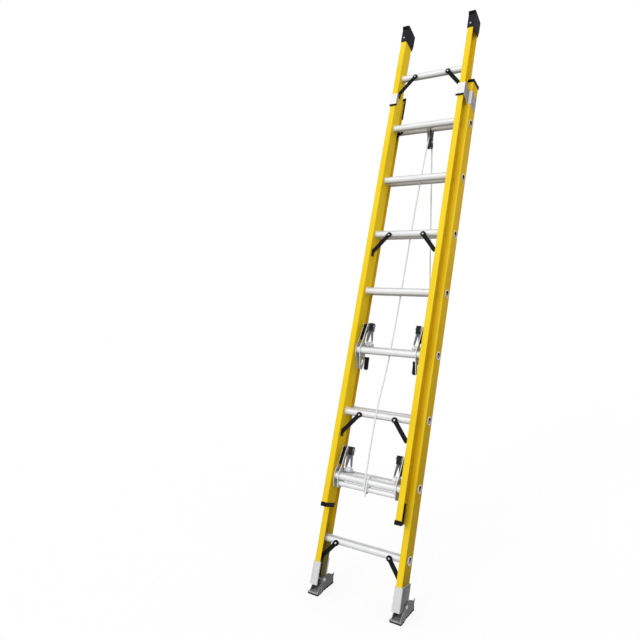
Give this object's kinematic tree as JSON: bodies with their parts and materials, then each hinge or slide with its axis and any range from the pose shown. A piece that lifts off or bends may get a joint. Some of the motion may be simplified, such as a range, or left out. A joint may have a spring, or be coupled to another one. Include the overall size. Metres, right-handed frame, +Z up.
{
  "type": "extension ladder",
  "caption": "Two-section fibreglass extension ladder leaning on pivoting shoes, with a sliding fly, rung locks, guide brackets and a rope over a pulley.",
  "frame": {"origin": "floor level, under the centre of the ladder's bounding box", "axes": "+X to the ladder's right seen from the climbing side, +Y away from the climber and the way the ladder leans, +Z up"},
  "size_m": [0.477, 0.9558, 2.871],
  "materials": {
    "fibreglass": "pultruded glass-fibre, satin",
    "aluminium": "extruded, satin",
    "black_strap": "black powder coat",
    "black_plastic": "moulded, matt",
    "rubber": "grooved",
    "zinc_steel": "zinc plated",
    "grey_plastic": "moulded",
    "rope": "braided"
  },
  "bodies": {
    "base_section": {"base_braces_bottom": "black_strap", "base_gussets_top": "black_strap", "base_rail_left": "fibreglass", "base_rail_right": "fibreglass", "base_rivets": "zinc_steel", "base_rung_1": "aluminium", "base_rung_2": "aluminium", "base_rung_3": "aluminium", "base_rung_4": "aluminium", "base_rung_5": "aluminium", "base_rung_6": "aluminium", "base_rung_7": "aluminium", "base_rung_8": "aluminium", "base_top_caps": "black_plastic", "boots": "aluminium", "foot_plates": "zinc_steel", "guide_brackets": "aluminium", "guide_liners": "black_plastic", "pulley_axle": "zinc_steel", "pulley_housing": "black_plastic", "pulley_strap": "zinc_steel", "rope_strand": "rope", "rope_tail": "rope", "shoe_bolts": "zinc_steel"},
    "fly_section": {"fly_braces": "black_strap", "fly_foot_caps": "black_plastic", "fly_rail_left": "fibreglass", "fly_rail_right": "fibreglass", "fly_rivets": "zinc_steel", "fly_rung_1": "aluminium", "fly_rung_2": "aluminium", "fly_rung_3": "aluminium", "fly_rung_4": "aluminium", "fly_rung_5": "aluminium", "fly_rung_6": "aluminium", "fly_rung_7": "aluminium", "fly_rung_8": "aluminium", "fly_top_caps": "black_plastic", "lock_housings": "black_plastic", "lock_pins": "zinc_steel", "lock_plates": "aluminium", "lock_springs": "zinc_steel", "lock_tie_bar": "aluminium", "rope_tie": "rope"},
    "sheave": {"pulley_sheave": "grey_plastic"},
    "shoe_left_body": {"shoe_left": "zinc_steel", "shoe_pad_left": "rubber"},
    "shoe_right_body": {"shoe_right": "zinc_steel", "shoe_pad_right": "rubber"},
    "upper_hook_left_body": {"upper_hook_left": "zinc_steel", "upper_hook_cap_left": "black_plastic"},
    "upper_hook_right_body": {"upper_hook_right": "zinc_steel", "upper_hook_cap_right": "black_plastic"},
    "lower_hook_left_body": {"lower_hook_left": "zinc_steel", "lower_hook_cap_left": "black_plastic"},
    "lower_hook_right_body": {"lower_hook_right": "zinc_steel", "lower_hook_cap_right": "black_plastic"},
    "upper_flipper_left_body": {"upper_flipper_left": "black_strap"},
    "upper_flipper_right_body": {"upper_flipper_right": "black_strap"}
  },
  "joints": [
    {"name": "fly_slide", "type": "slide", "parent": "base_section", "child": "fly_section", "axis": [0, 0.3173, 0.9483], "range_m": [0, 1.2192], "deforming": ["rope_strand"]},
    {"name": "sheave_spin", "type": "hinge", "parent": "base_section", "child": "sheave", "pos_m": [0.004, 0.30456, 2.18765], "axis": [1, 0, 0], "continuous": true},
    {"name": "shoe_left_pivot", "type": "hinge", "parent": "base_section", "child": "shoe_left_body", "pos_m": [-0.225, -0.41992, 0.055], "axis": [1, 0, 0], "range_deg": [-25, 60]},
    {"name": "shoe_right_pivot", "type": "hinge", "parent": "base_section", "child": "shoe_right_body", "pos_m": [0.225, -0.41992, 0.055], "axis": [1, 0, 0], "range_deg": [-25, 60]},
    {"name": "upper_hook_left_swing", "type": "hinge", "parent": "fly_section", "child": "upper_hook_left_body", "pos_m": [-0.127, -0.08264, 1.22378], "axis": [1, 0, 0], "range_deg": [-12, 16], "stiffness_Nm_per_rad": 0.3, "springref_deg": 25.78},
    {"name": "upper_flipper_left_swing", "type": "hinge", "parent": "fly_section", "child": "upper_flipper_left_body", "pos_m": [-0.1299, -0.12693, 1.06777], "axis": [1, 0, 0], "range_deg": [-45, 40]},
    {"name": "upper_hook_right_swing", "type": "hinge", "parent": "fly_section", "child": "upper_hook_right_body", "pos_m": [0.127, -0.08264, 1.22378], "axis": [1, 0, 0], "range_deg": [-12, 16], "stiffness_Nm_per_rad": 0.3, "springref_deg": 25.78},
    {"name": "upper_flipper_right_swing", "type": "hinge", "parent": "fly_section", "child": "upper_flipper_right_body", "pos_m": [0.1299, -0.12693, 1.06777], "axis": [1, 0, 0], "range_deg": [-45, 40]},
    {"name": "lower_hook_left_swing", "type": "hinge", "parent": "fly_section", "child": "lower_hook_left_body", "pos_m": [-0.127, -0.27607, 0.64568], "axis": [1, 0, 0], "range_deg": [-12, 16], "stiffness_Nm_per_rad": 0.3, "springref_deg": 25.78},
    {"name": "lower_hook_right_swing", "type": "hinge", "parent": "fly_section", "child": "lower_hook_right_body", "pos_m": [0.127, -0.27607, 0.64568], "axis": [1, 0, 0], "range_deg": [-12, 16], "stiffness_Nm_per_rad": 0.3, "springref_deg": 25.78}
  ],
  "couplings": [
    {"joint": "sheave_spin", "follows": "fly_slide", "rad_per_m": -41.152}
  ]
}
